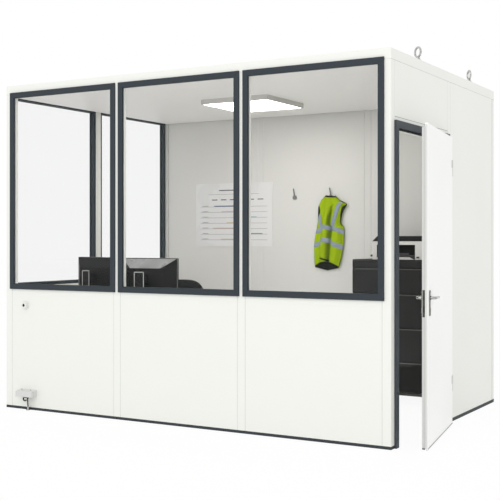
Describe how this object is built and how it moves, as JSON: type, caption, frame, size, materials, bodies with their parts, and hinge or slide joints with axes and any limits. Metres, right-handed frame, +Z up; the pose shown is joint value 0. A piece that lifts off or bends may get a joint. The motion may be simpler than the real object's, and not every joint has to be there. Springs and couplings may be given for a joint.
{
  "type": "portable cabin",
  "caption": "Box-shaped portable office cabin with glazed front and end walls, a hinged steel door set ajar, roof lifting eyes and office furniture inside.",
  "frame": {"origin": "on the ground, on the line of the front posts, at the middle of the front wall", "axes": "+X along the front wall towards the door end, +Y to the rear wall, +Z up"},
  "size_m": [3.4615, 2.222, 2.595],
  "materials": {
    "white_panel": "white polyester coated sheet, satin",
    "base_rail": "dark grey powder coat",
    "window_frame": "anthracite powder coat, fine texture",
    "glass": "clear float glass",
    "door_frame": "anthracite powder coat",
    "door_leaf": "white powder coat, satin",
    "hinge_steel": "zinc plated steel",
    "lock_steel": "satin stainless steel",
    "eye_steel": "galvanised forged steel",
    "light_housing": "grey painted sheet",
    "light_lens": "opal diffuser",
    "planner_board": "printed year sheet behind clear film",
    "vest_cloth": "lime polyester with grey bands",
    "desk_board": "pale grey laminate board",
    "desk_steel": "silver powder coat",
    "monitor_black": "black moulded plastic, fine texture",
    "stand_silver": "silver satin",
    "chair_cloth": "black woven upholstery",
    "chair_plastic": "black nylon",
    "cabinet_dark": "near black powder coat",
    "cabinet_feet": "black moulded feet",
    "printer_pale": "pale grey moulded plastic",
    "printer_dark": "charcoal moulded plastic",
    "fitting_white": "white moulded plastic",
    "cable_black": "black rubber sheath"
  },
  "bodies": {
    "cabin": {"front_posts": "white_panel", "rear_posts": "white_panel", "side_posts": "white_panel", "front_panels": "white_panel", "left_panels": "white_panel", "rear_panels": "white_panel", "right_panel": "white_panel", "door_lintel": "white_panel", "door_transom_panel": "white_panel", "roof_edge_beam": "white_panel", "roof_panel": "white_panel", "base_rail_front": "base_rail", "base_rail_rear": "base_rail", "base_rail_left": "base_rail", "base_rail_right": "base_rail", "front_window_frames": "window_frame", "left_window_frames": "window_frame", "front_glass": "glass", "left_glass": "glass", "door_jamb_front": "door_frame", "door_jamb_rear": "door_frame", "door_head": "door_frame", "hinge_frame_halves": "hinge_steel", "coat_hooks": "hinge_steel", "lifting_eyes": "eye_steel", "ceiling_light_housing": "light_housing", "ceiling_light_lens": "light_lens", "wall_planner": "planner_board", "hanging_vest": "vest_cloth", "desk_top": "desk_board", "desk_frame": "desk_steel", "monitors": "monitor_black", "monitor_stands": "stand_silver", "chair_seat": "chair_cloth", "chair_back": "chair_cloth", "chair_base": "chair_plastic", "cabinet_body": "cabinet_dark", "cabinet_drawer_fronts": "cabinet_dark", "cabinet_feet": "cabinet_feet", "printer_body": "printer_pale", "printer_lid": "printer_dark", "cable_bush": "fitting_white", "inlet_box": "fitting_white", "cable_clip": "fitting_white", "inlet_cable": "cable_black"},
    "door": {"door_leaf": "door_leaf", "hinge_leaf_halves": "hinge_steel", "lock_plates": "lock_steel", "lock_cylinder": "lock_steel", "lock_forend": "lock_steel"},
    "levers": {"door_levers": "lock_steel"}
  },
  "joints": [
    {"name": "door_swing", "type": "hinge", "parent": "cabin", "child": "door", "pos_m": [1.637, 1.016, 1.25], "axis": [0, 0, 1], "range_deg": [-10, 150]},
    {"name": "lever_turn", "type": "hinge", "parent": "door", "child": "levers", "pos_m": [1.7642, 0.11033, 0.942], "axis": [-0.9848, -0.1736, 0], "range_deg": [0, 40], "stiffness_Nm_per_rad": 0.8, "springref_deg": -57.3}
  ]
}
